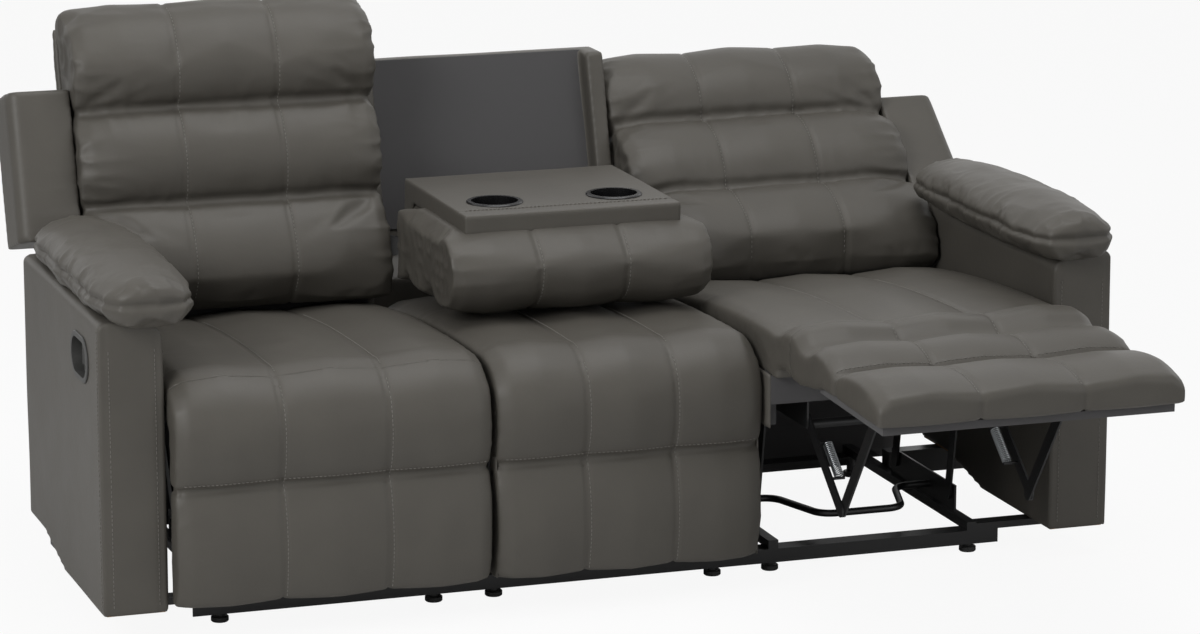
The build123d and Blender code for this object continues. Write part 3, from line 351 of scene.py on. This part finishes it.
def planed_wood(name, dark, light):
    """Rough pine board: stretched grain bands about 9 mm wide."""
    material, tree, shader, place = new_material(name, {"Roughness": 0.7})
    ring = add_node(tree, "ShaderNodeTexWave", {"bands_direction": "Z"},
                    {"Scale": 0.314 / 0.009, "Distortion": 5.0, "Detail": 3.0, "Detail Scale": 0.6},
                    {"Vector": place})
    two_tones(tree, shader, ring.outputs["Fac"], dark, light)
    bump = add_node(tree, "ShaderNodeBump", values={"Strength": 0.15, "Distance": 0.0005},
                    links={"Height": ring.outputs["Fac"]})
    tree.links.new(bump.outputs["Normal"], shader.inputs["Normal"])
    return material


GREY_LEATHER = leather("coated_leather_grey", "#4c4944", "#56534d")
LINING = woven("woven_lining_charcoal", "#403f40", "#4d4c4d")
# Powder coat is an even black skin with a faint orange peel
BLACK_STEEL = grained("powder_coated_steel_black", {"Specular IOR Level": 0.5}, "#0f0f10", "#19191a",
                      0.003, 0.08, 0.0003, (0.34, 0.48))
# Zinc plating is a bright bluish metal, a little cloudy
ZINC = grained("zinc_plated_spring_wire", {"Metallic": 1.0}, "#9a9da0", "#b9bcbe", 0.004, 0.05, 0.0002,
               (0.26, 0.4))
WOOD = planed_wood("planed_pine", "#8d6a45", "#b18d63")
# Moulded polypropylene cups have a satin gloss with a fine spark texture
CUP_PLASTIC = grained("moulded_polypropylene_black", {"IOR": 1.49}, "#0d0d0e", "#151516", 0.002, 0.05, 0.0002,
                      (0.2, 0.32))
# ABS handles have a fine moulded texture, and nylon glides are duller
HANDLE_PLASTIC = grained("moulded_abs_grey", {"IOR": 1.54}, "#343433", "#3e3e3c", 0.0015, 0.12, 0.0002,
                         (0.42, 0.55))
NYLON = grained("moulded_nylon_black", {"IOR": 1.53}, "#0e0e0e", "#171717", 0.002, 0.1, 0.0002, (0.5, 0.62))
# Bonded polyester thread is a touch lighter than the leather and has a soft shine
THREAD = grained("bonded_polyester_thread", {"Sheen Weight": 0.2}, "#6b6862", "#7b7872", 0.001, 0.2, 0.0002,
                 (0.5, 0.6))

SLOT_FINISH = {"black_steel": BLACK_STEEL, "zinc_spring_steel": ZINC, "frame_wood": WOOD,
               "black_plastic": CUP_PLASTIC, "grey_plastic": HANDLE_PLASTIC, "black_nylon": NYLON,
               "lining_fabric": LINING, "grey_leather": GREY_LEATHER}
for entry in frame["record"]["subparts"]:
    node_mesh = frame["nodes"][entry["node"]].data
    node_mesh.materials.clear()
    node_mesh.materials.append(SLOT_FINISH[entry["material_slot"]])


# Sewing
def surface_line(mesh, starts, way):
    """Points and normals where parallel rays meet a skin."""
    tree = BVHTree.FromPolygons([tuple(v.co) for v in mesh.vertices], [tuple(p.vertices) for p in mesh.polygons])
    hits = [tree.ray_cast(Vector(start), Vector(way)) for start in starts]
    return [(hit[0], hit[1]) for hit in hits if hit[0] is not None]


def stitch_mesh(lines):
    """Rows of thread stitches, each a tapered six-sided strand lying on the skin."""
    points, faces = [], []
    for line in lines:
        travelled = 0.0
        for (p, n), (q, m) in zip(line, line[1:]):
            gap = (q - p).length
            travelled += gap
            if travelled < STITCH_PITCH or not 0 < gap < STITCH_PITCH * 2:
                continue
            travelled = 0.0
            way = (q - p).normalized()
            side = n.cross(way).normalized()
            start = len(points)
            for place, scale, height in ((0.0, 0.5, 0.0), (0.3, 1.0, 1.0), (0.7, 1.0, 1.0), (1.0, 0.5, 0.0)):
                centre = p + way * STITCH_LENGTH * place + n * THREAD_RADIUS * height
                for k in range(6):
                    a = math.tau * k / 6
                    points.append(centre + (side * math.cos(a) + n * math.sin(a)) * THREAD_RADIUS * scale)
            for ring in range(3):
                for k in range(6):
                    low = start + ring * 6
                    faces.append((low + k, low + (k + 1) % 6, low + 6 + (k + 1) % 6, low + 6 + k))
            faces.append([start + k for k in reversed(range(6))])
            faces.append([start + 18 + k for k in range(6)])
    mesh = bpy.data.meshes.new("stitches")
    mesh.from_pydata([tuple(p) for p in points], [], faces)
    return mesh


def sewn(name, body, mesh):
    mesh.materials.clear()
    mesh.materials.append(THREAD)
    mesh.shade_smooth()
    piece = new_object(name, mesh)
    if body:
        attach(piece, body)
    return piece


def steps(start, end, spacing=0.002):
    count = max(2, int(abs(end - start) / spacing))
    return [start + (end - start) * i / count for i in range(count + 1)]


# Backs of three rolls
def back_place(points):
    """Depth behind the front line and height along the back, for points of a closed back."""
    y = points[:, 1] - BACK_FOOT[0]
    z = points[:, 2] - BACK_FOOT[1]
    height = y * math.sin(BACK_LEAN) + z * math.cos(BACK_LEAN)
    depth = y * math.cos(BACK_LEAN) - z * math.sin(BACK_LEAN)
    return depth, height


def end_distance(points, span):
    return np.minimum(np.abs(points[:, 0] - span[0]), np.abs(points[:, 0] - span[1]))


def back_skin():
    """Closed left back cushion: swollen rolls, sewn creases, gathered ends and two upright seams."""
    mesh = remeshed(["left_back_cushion"], 0.006, 5)
    inflate(mesh, 3.0, 0.014, 0.02)
    soften_mesh(mesh, 2)

    def from_crease(points):
        height = back_place(points)[1]
        return np.min([np.abs(height - c) for c in ROLL_CREASES], axis=0)

    def wrinkles(points):
        depth, height = back_place(points)
        face = np.clip((0.10 - depth) / 0.04, 0, 1)
        crease = np.exp(-from_crease(points) / 0.030) * folds(points, (0.034, 0.2, 0.12), 3)
        edge = np.exp(-end_distance(points, SEAT_X) / 0.050) * folds(points, (0.12, 0.030, 0.026), 5)
        broad = cloud(points, (0.16, 0.12, 0.09), 9)
        return face * (0.0026 * crease + 0.0036 * edge + 0.0022 * broad)

    press(mesh, from_crease, 0.007, 0.010)
    lift(mesh, wrinkles)
    for x in thirds(SEAT_X):
        press(mesh, lambda points: points[:, 0] - x, SEAM_DEEP, SEAM_WIDTH)
    return mesh


def back_stitches(mesh):
    lines = []
    for x in thirds(SEAT_X):
        rays = []
        for height in steps(0.015, 0.585):
            y = BACK_FOOT[0] + height * math.sin(BACK_LEAN)
            z = BACK_FOOT[1] + height * math.cos(BACK_LEAN)
            rays.append((x + SEAM_SIDE, y - 0.3 * math.cos(BACK_LEAN), z + 0.3 * math.sin(BACK_LEAN)))
        lines.append(surface_line(mesh, rays, (0, math.cos(BACK_LEAN), -math.sin(BACK_LEAN))))
    return stitch_mesh(lines)


def open_back(points):
    return slide(turn(mirrored(points), hinge_point("left_back_tilt"), open_turn("left_back_tilt")))


def wing_skin():
    """Rear panel with its padded wing, a little full on its faces."""
    mesh = remeshed(["left_back_cover"], 0.006, 4)
    lift(mesh, lambda points: 0.0012 * cloud(points, (0.2, 0.14, 0.14), 21)
         + 0.0016 * np.exp(-end_distance(points, SEAT_X) / 0.04) * folds(points, (0.1, 0.05, 0.04), 4))
    return mesh


for part_name, make, fill in (("back_cushion", back_skin, 0.8), ("back_cover", wing_skin, 0.5)):
    closed = make()
    finished(closed, "left_" + part_name + "_leather", "left_back", ["left_" + part_name], GREY_LEATHER)
    opened = copied(closed, open_back, True)
    finished(opened, "right_" + part_name + "_leather", "right_back", ["right_" + part_name], GREY_LEATHER)
    if part_name == "back_cushion":
        thread = back_stitches(closed)
        sewn("left_back_stitching", "left_back", thread)
        sewn("right_back_stitching", "right_back", copied(thread, open_back, True))


# Seats and leg rests: one skin from the rear of the seat to the foot, cut at the middle of the front edge
CROWN = hinge_point("left_crown_fold")
LEG = hinge_point("left_footrest")
CROWN_WAY = np.array((0.0, -1.0, -0.22))
LEG_WAY = np.array((0.0, -0.55, -0.84))
CROWN_BLEND = 0.038
LEG_BLEND = 0.045


def chaise_skin(nodes, span):
    mesh = remeshed(nodes, 0.006, 6)

    def from_seam(points):
        front = points[:, 1] < ARM_FRONT + 0.01
        return np.where(front, np.abs(points[:, 2] - LEG_SEAM_Z), 1.0)

    def fullness(points):
        width = (span[1] - span[0]) / 3
        across = np.abs(np.sin(np.pi * (points[:, 0] - span[0]) / width))
        wave = cloud(points, (0.15, 0.15, 0.15), 31)
        ends = np.exp(-end_distance(points, span) / 0.030) * folds(points, (0.08, 0.035, 0.035), 8)
        seam = np.exp(-from_seam(points) / 0.022) * folds(points, (0.036, 0.2, 0.1), 6)
        upper = points[:, 2] > 0.41
        front = points[:, 1] < ARM_FRONT + 0.06
        shown = np.where(upper | front, 1.0, 0.0)
        return shown * (0.0022 * across + 0.0010 * wave + 0.0010 * ends + 0.0010 * seam - 0.001)

    lift(mesh, fullness)
    press(mesh, from_seam, 0.006, 0.007)
    for x in thirds(span):
        press(mesh, lambda points: points[:, 0] - x, SEAM_DEEP, SEAM_WIDTH)
    return mesh


def chaise_stitches(mesh, span, rear):
    """Stitches beside the two long seams, over the seat and down the front, and above the cross seam."""
    lines = []
    for x in thirds(span):
        top = [(x + SEAM_SIDE, y, 0.8) for y in steps(rear, ARM_FRONT + 0.02)]
        front = [(x + SEAM_SIDE, ARM_FRONT - 0.4, z) for z in steps(0.47, 0.085)]
        lines.append(surface_line(mesh, top, (0, 0, -1)))
        lines.append(surface_line(mesh, front, (0, 1, 0)))
    across = [(x, ARM_FRONT - 0.4, LEG_SEAM_Z + 0.012) for x in steps(span[0] + 0.012, span[1] - 0.012)]
    lines.append(surface_line(mesh, across, (0, 1, 0)))
    return stitch_mesh(lines)


def split(mesh, keep_front):
    """Half of a chaise skin, before or after the middle of the front edge, capped where it is cut."""
    middle = (CROWN + LEG) / 2
    way = (LEG - CROWN) / np.linalg.norm(LEG - CROWN)
    work = bmesh.new()
    work.from_mesh(mesh)
    cut = bmesh.ops.bisect_plane(work, geom=work.verts[:] + work.edges[:] + work.faces[:], plane_co=Vector(middle),
                                 plane_no=Vector(way), clear_inner=keep_front, clear_outer=not keep_front)
    edges = [e for e in cut["geom_cut"] if isinstance(e, bmesh.types.BMEdge)]
    if edges:
        bmesh.ops.edgenet_fill(work, edges=edges)
    half = bpy.data.meshes.new("half")
    work.to_mesh(half)
    work.free()
    return half


def open_chaise(points):
    """Closed points of the left seat, mirrored and unrolled as the open right seat."""
    out = mirrored(points)
    leg_share = smooth_share(out, LEG - LEG_WAY * LEG_BLEND, LEG + LEG_WAY * LEG_BLEND)
    crown_share = smooth_share(out, CROWN - CROWN_WAY * CROWN_BLEND, CROWN + CROWN_WAY * CROWN_BLEND)
    out = turn(out, LEG, open_turn("left_footrest"), leg_share)
    out = turn(out, CROWN, open_turn("left_crown_fold"), crown_share)
    return slide(out)


def bent(piece):
    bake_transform(piece)


def turned_way(way, degrees):
    return turn(np.array([way]), np.zeros(3), degrees)[0]


closed_chaise = chaise_skin(["left_seat_cushion", "left_crown_pad", "left_legrest_pad"], SEAT_X)
closed_thread = chaise_stitches(closed_chaise, SEAT_X, ARM_FRONT + 0.56)
for side in ("left", "right"):
    opening = side == "right"
    crown_way = CROWN_WAY
    leg_way = LEG_WAY
    if opening:
        crown_way = turned_way(CROWN_WAY, open_turn("left_crown_fold") / 2)
        leg_way = turned_way(LEG_WAY, open_turn("left_crown_fold") + open_turn("left_footrest") / 2)
    for source, label in ((closed_chaise, "leather"), (closed_thread, "stitching")):
        for keep_front, where in ((False, "seat"), (True, "legrest")):
            half = split(source, keep_front)
            if opening:
                half = copied(half, open_chaise, True)
            half.name = side + "_" + where + "_" + label
            half.materials.clear()
            half.materials.append(GREY_LEATHER if label == "leather" else THREAD)
            half.shade_smooth()
            piece = new_object(half.name, half)
            if where == "seat":
                bent(piece)
            else:
                bent(piece)
            if label == "leather":
                if where == "seat":
                    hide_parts(side + "_seat_cushion", side + "_crown_pad")
                else:
                    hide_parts(side + "_legrest_pad")

centre_mesh = chaise_skin(["centre_seat_cushion", "centre_front_pad"], CENTRE_X)
finished(centre_mesh, "centre_seat_leather", "frame", ["centre_seat_cushion", "centre_front_pad"], GREY_LEATHER)
sewn("centre_seat_stitching", "frame", chaise_stitches(centre_mesh, CENTRE_X, ARM_FRONT + 0.60))


# Table with its hanging head roll
def table_skin():
    mesh = remeshed(["table_cushion"], 0.005, 5)
    inflate(mesh, 3.0, 0.010, 0.02)
    soften_mesh(mesh, 2)

    def gathers(points):
        low = np.clip((0.652 - points[:, 2]) / 0.03, 0, 1)
        ends = np.exp(-end_distance(points, CENTRE_X) / 0.055) * folds(points, (0.12, 0.028, 0.028), 12)
        broad = cloud(points, (0.13, 0.09, 0.09), 14)
        return low * (0.0022 * ends + 0.0018 * broad)

    lift(mesh, gathers)
    for x in thirds(CENTRE_X):
        press(mesh, lambda points: points[:, 0] - x, SEAM_DEEP, SEAM_WIDTH)
    return mesh


def table_stitches(mesh):
    lines = []
    for x in thirds(CENTRE_X):
        rays = [(x + SEAM_SIDE, ARM_FRONT - 0.4, z) for z in steps(0.645, 0.515)]
        lines.append(surface_line(mesh, rays, (0, 1, 0)))
    return stitch_mesh(lines)


roll = table_skin()
finished(roll, "table_roll_leather", "table", ["table_cushion"], GREY_LEATHER)
sewn("table_roll_stitching", "table", table_stitches(roll))

tray_low, tray_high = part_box("table_board")
TRAY_BAND = 0.045


def from_band(points):
    """Distance from the seam behind the band along the tray's front, on its top face only."""
    top = points[:, 2] > tray_high.z - 0.004
    return np.where(top, points[:, 1] - tray_low.y - TRAY_BAND, 1.0)


tray = remeshed(["table_board"], 0.0035, 3)
press(tray, from_band, 0.002, 0.003)
lift(tray, lambda points: 0.0008 * cloud(points, (0.1, 0.1, 0.1), 17))
finished(tray, "table_tray_leather", "table", ["table_board"], GREY_LEATHER)
band_rays = [(x, tray_low.y + TRAY_BAND + SEAM_SIDE, 0.9) for x in steps(tray_low.x + 0.01, tray_high.x - 0.01)]
sewn("table_tray_stitching", "table", stitch_mesh([surface_line(tray, band_rays, (0, 0, -1))]))


# Arms and their pads
def arm_skin():
    """Arm cover with a raised seam down both edges of its front panel."""
    mesh = remeshed(["arm_cover_left"], 0.006, 4)
    low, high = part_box("arm_cover_left")

    def edge_distance(points):
        front = points[:, 1] < low.y + 0.004
        side = np.minimum(np.abs(points[:, 0] - low.x - 0.012), np.abs(points[:, 0] - high.x + 0.012))
        return np.where(front, side, 1.0)

    lift(mesh, lambda points: 0.0012 * cloud(points, (0.18, 0.18, 0.18), 41))
    press(mesh, edge_distance, 0.0022, 0.003)
    return mesh


def arm_stitches(mesh):
    low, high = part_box("arm_cover_left")
    lines = []
    for x in (low.x + 0.018, high.x - 0.018):
        rays = [(x, low.y - 0.2, z) for z in steps(low.z + 0.01, high.z - 0.05)]
        lines.append(surface_line(mesh, rays, (0, 1, 0)))
    rays = [(low.x - 0.2, low.y + 0.014, z) for z in steps(low.z + 0.01, high.z - 0.02)]
    lines.append(surface_line(mesh, rays, (1, 0, 0)))
    return stitch_mesh(lines)


def pad_skin():
    """Arm pad as a swollen pillow: a seam round its middle that gathers the leather."""
    mesh = remeshed(["arm_pad_left"], 0.0045, 4)
    inflate(mesh, 3.0, 0.012, 0.03)
    soften_mesh(mesh, 2)
    low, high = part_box("arm_pad_left")

    def from_seam(points):
        return np.abs(points[:, 2] - PAD_SEAM_Z)

    def gathers(points):
        tip = np.minimum(points[:, 1] - low.y, high.y - points[:, 1])
        rim = np.minimum(points[:, 0] - low.x, high.x - points[:, 0])
        near = np.exp(-np.clip(np.minimum(tip, rim), 0, 1) / 0.035)
        up = points[:, 2] > 0.606
        radial = folds(points, (0.034, 0.030, 0.2), 24)
        broad = cloud(points, (0.09, 0.09, 0.09), 27)
        return np.where(up, near * 0.0042 * radial + 0.003 * broad, 0.0)

    lift(mesh, gathers)
    press(mesh, from_seam, 0.007, 0.006)
    return mesh


def same(points):
    return points


arm = arm_skin()
arm_thread = arm_stitches(arm)
pad = pad_skin()
for side, move in (("left", same), ("right", mirrored)):
    flip = side == "right"
    finished(copied(arm, move, flip), "arm_" + side + "_leather", "frame", ["arm_cover_" + side], GREY_LEATHER)
    sewn("arm_" + side + "_stitching", "frame", copied(arm_thread, move, flip))
    finished(copied(pad, move, flip), "arm_pad_" + side + "_leather", "frame", ["arm_pad_" + side], GREY_LEATHER)

# Centre back shell in leather
shell = remeshed(["centre_back_shell"], 0.006, 3)
lift(shell, lambda points: 0.001 * cloud(points, (0.12, 0.12, 0.12), 51))
finished(shell, "centre_back_leather", "frame", ["centre_back_shell"], GREY_LEATHER)

# Upholstered sides of the seat boxes, and a dust cloth behind each recliner
PANEL = 0.002
BOARD_SPAN = (ARM_FRONT + 0.095, ARM_FRONT + 0.685)


def panel(name, body, low, high, material, shift=(0, 0, 0)):
    """Thin cloth or leather face: a fine grid with slow ripples."""
    work = bmesh.new()
    bmesh.ops.create_cube(work, size=1.0)
    middle = [(a + b) / 2 + c for a, b, c in zip(low, high, shift)]
    size = [b - a for a, b in zip(low, high)]
    for vertex in work.verts:
        vertex.co = Vector([m + v * d for m, v, d in zip(middle, vertex.co, size)])
    bmesh.ops.subdivide_edges(work, edges=work.edges[:], cuts=14, use_grid_fill=True)
    mesh = bpy.data.meshes.new(name)
    work.to_mesh(mesh)
    work.free()
    points = coordinates(mesh)
    thin = size.index(min(size))
    points[:, thin] += 0.0005 * cloud(points, (0.09, 0.09, 0.09), 61)
    set_coordinates(mesh, points)
    return finished(mesh, name, body, [], material)


for side, sign in (("left", -1), ("right", 1)):
    shift = (0, 0, 0) if side == "left" else tuple((0, SEAT_SLIDE.y, SEAT_SLIDE.z))
    seat_ends = sorted(abs(x) for x in SEAT_X)
    for end, start in (("inner", seat_ends[0] - PANEL), ("outer", seat_ends[1])):
        ends = sorted((sign * start, sign * (start + PANEL)))
        panel(side + "_seat_box_" + end, side + "_seat", (ends[0], BOARD_SPAN[0], 0.300),
              (ends[1], BOARD_SPAN[1], 0.402), GREY_LEATHER, shift)
    ends = sorted((sign * (CENTRE_X[1] - 2 * PANEL), sign * (CENTRE_X[1] - PANEL)))
    panel("centre_seat_box_" + side, "frame", (ends[0], ARM_FRONT - 0.030, 0.075),
          (ends[1], ARM_FRONT + 0.680, 0.405), GREY_LEATHER)
    ends = sorted((sign * seat_ends[0], sign * seat_ends[1]))
    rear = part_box("rear_base_rail")[1].y
    cloth = panel("dust_cloth_" + side, "frame", (ends[0], rear, 0.03), (ends[1], rear + PANEL / 2, 0.300), LINING)

# Boards that show under the open seat are wrapped in lining
for node in ("left_legrest_board", "right_legrest_board", "left_seat_frame", "right_seat_frame",
             "centre_seat_frame", "left_back_board", "right_back_board"):
    frame["nodes"][node].data.materials[0] = LINING

# Camera at the photograph's angle, for a frame of 1200 by 634
YAW = math.radians(18.92)
PITCH = math.radians(12.62)
camera_data = bpy.data.cameras.new("camera")
camera_data.sensor_width = 36.0
camera_data.lens = 138.3
camera_data.shift_x = -0.008
camera = bpy.data.objects.new("camera", camera_data)
bpy.context.scene.collection.objects.link(camera)
camera.location = (-2.708, -7.823 + ARM_FRONT, 2.395)
camera_way = Vector((math.sin(YAW) * math.cos(PITCH), math.cos(YAW) * math.cos(PITCH), -math.sin(PITCH)))
camera.rotation_mode = "QUATERNION"
camera.rotation_quaternion = camera_way.to_track_quat("-Z", "Y")
camera_data.clip_end = 100.0
bpy.context.scene.camera = camera


# Studio: white surroundings, one broad light from the left front and a weaker one from the right
def soft_light(name, place, target, size, power):
    data = bpy.data.lights.new(name, "AREA")
    data.shape = "SQUARE"
    data.size = size
    data.energy = power
    lamp = bpy.data.objects.new(name, data)
    bpy.context.scene.collection.objects.link(lamp)
    lamp.location = place
    lamp.rotation_mode = "QUATERNION"
    lamp.rotation_quaternion = (Vector(target) - Vector(place)).to_track_quat("-Z", "Y")


soft_light("key", (-3.8, -2.6, 3.0), (0, 0, 0.4), 2.0, 105)
soft_light("top", (0.3, -0.4, 4.0), (0, 0, 0.4), 2.6, 62)
soft_light("fill", (3.2, -3.4, 1.8), (0, 0, 0.4), 2.4, 18)

world = bpy.data.worlds.new("studio")
bpy.context.scene.world = world
world.use_nodes = True
sky = world.node_tree
backdrop = sky.nodes["Background"]
backdrop.inputs["Color"].default_value = (1, 1, 1, 1)
rays = add_node(sky, "ShaderNodeLightPath")
seen = add_node(sky, "ShaderNodeMath", {"operation": "MAXIMUM"})
either = add_node(sky, "ShaderNodeMath", {"operation": "MAXIMUM"})
sky.links.new(rays.outputs["Is Glossy Ray"], either.inputs[0])
sky.links.new(rays.outputs["Is Transmission Ray"], either.inputs[1])
sky.links.new(rays.outputs["Is Camera Ray"], seen.inputs[0])
sky.links.new(either.outputs["Value"], seen.inputs[1])
AMBIENT = 0.22
level = add_node(sky, "ShaderNodeMapRange", values={"To Min": AMBIENT, "To Max": 1.0},
                 links={"Value": seen.outputs["Value"]})
sky.links.new(level.outputs["Result"], backdrop.inputs["Strength"])

floor_mesh = bpy.data.meshes.new("floor")
FLOOR = 30.0
floor_mesh.from_pydata([(-FLOOR, -FLOOR, 0), (FLOOR, -FLOOR, 0), (FLOOR, FLOOR, 0), (-FLOOR, FLOOR, 0)], [],
                       [(0, 1, 2, 3)])
floor = new_object("floor", floor_mesh)
paper = bpy.data.materials.new("matt_paper_white")
paper.use_nodes = True
tree = paper.node_tree
matt = tree.nodes["Principled BSDF"]
matt.inputs["Base Color"].default_value = linear("#f4f4f4")
matt.inputs["Roughness"].default_value = 0.9
glow = add_node(tree, "ShaderNodeEmission", values={"Color": (1, 1, 1, 1), "Strength": 1.0})
path = add_node(tree, "ShaderNodeLightPath")
share = add_node(tree, "ShaderNodeMath", {"operation": "MULTIPLY"}, links={0: path.outputs["Is Camera Ray"]})
share.inputs[1].default_value = 0.92
blend = add_node(tree, "ShaderNodeMixShader", links={0: share.outputs["Value"], 1: matt.outputs["BSDF"],
                                                     2: glow.outputs["Emission"]})
tree.links.new(blend.outputs["Shader"], tree.nodes["Material Output"].inputs["Surface"])
floor_mesh.materials.append(paper)

bpy.context.scene.view_settings.view_transform = "Standard"
